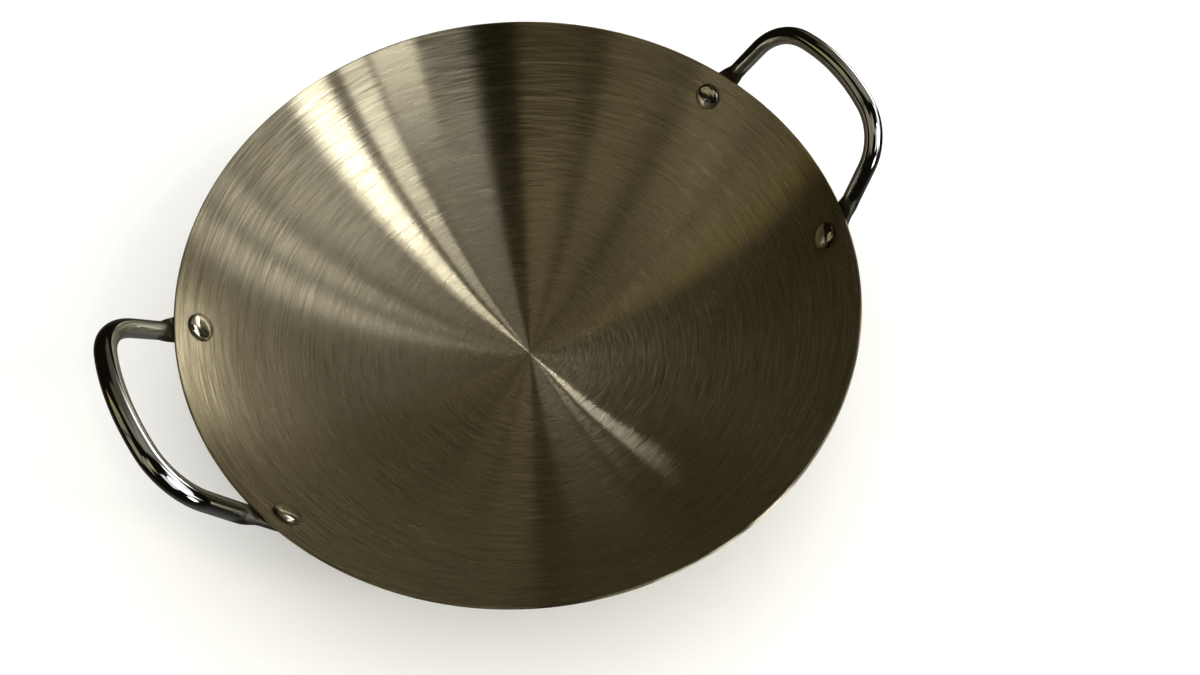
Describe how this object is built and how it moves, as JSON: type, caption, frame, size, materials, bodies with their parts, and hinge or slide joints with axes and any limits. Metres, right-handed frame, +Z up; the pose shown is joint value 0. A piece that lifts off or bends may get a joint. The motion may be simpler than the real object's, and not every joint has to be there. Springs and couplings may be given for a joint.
{
  "type": "two-handled cooking pan",
  "caption": "Shallow round spun-steel cooking pan with a brushed inside, a small flat base and upright bent-bar loop handles riveted to the wall.",
  "frame": {"origin": "centre of the flat base, on the surface the pan stands on", "axes": "+Z up out of the bowl, +X towards the right-hand handle, +Y towards the back"},
  "size_m": [0.3376, 0.3, 0.127],
  "materials": {
    "bowl_steel": "circular brushed stainless steel",
    "handle_steel": "mirror-polished stainless steel",
    "rivet_steel": "polished stainless steel, faint turning marks"
  },
  "bodies": {
    "root": {"bowl": "bowl_steel", "handle_right": "handle_steel", "handle_left": "handle_steel", "rivet_right_front": "rivet_steel", "rivet_right_rear": "rivet_steel", "rivet_left_front": "rivet_steel", "rivet_left_rear": "rivet_steel"}
  },
  "joints": []
}
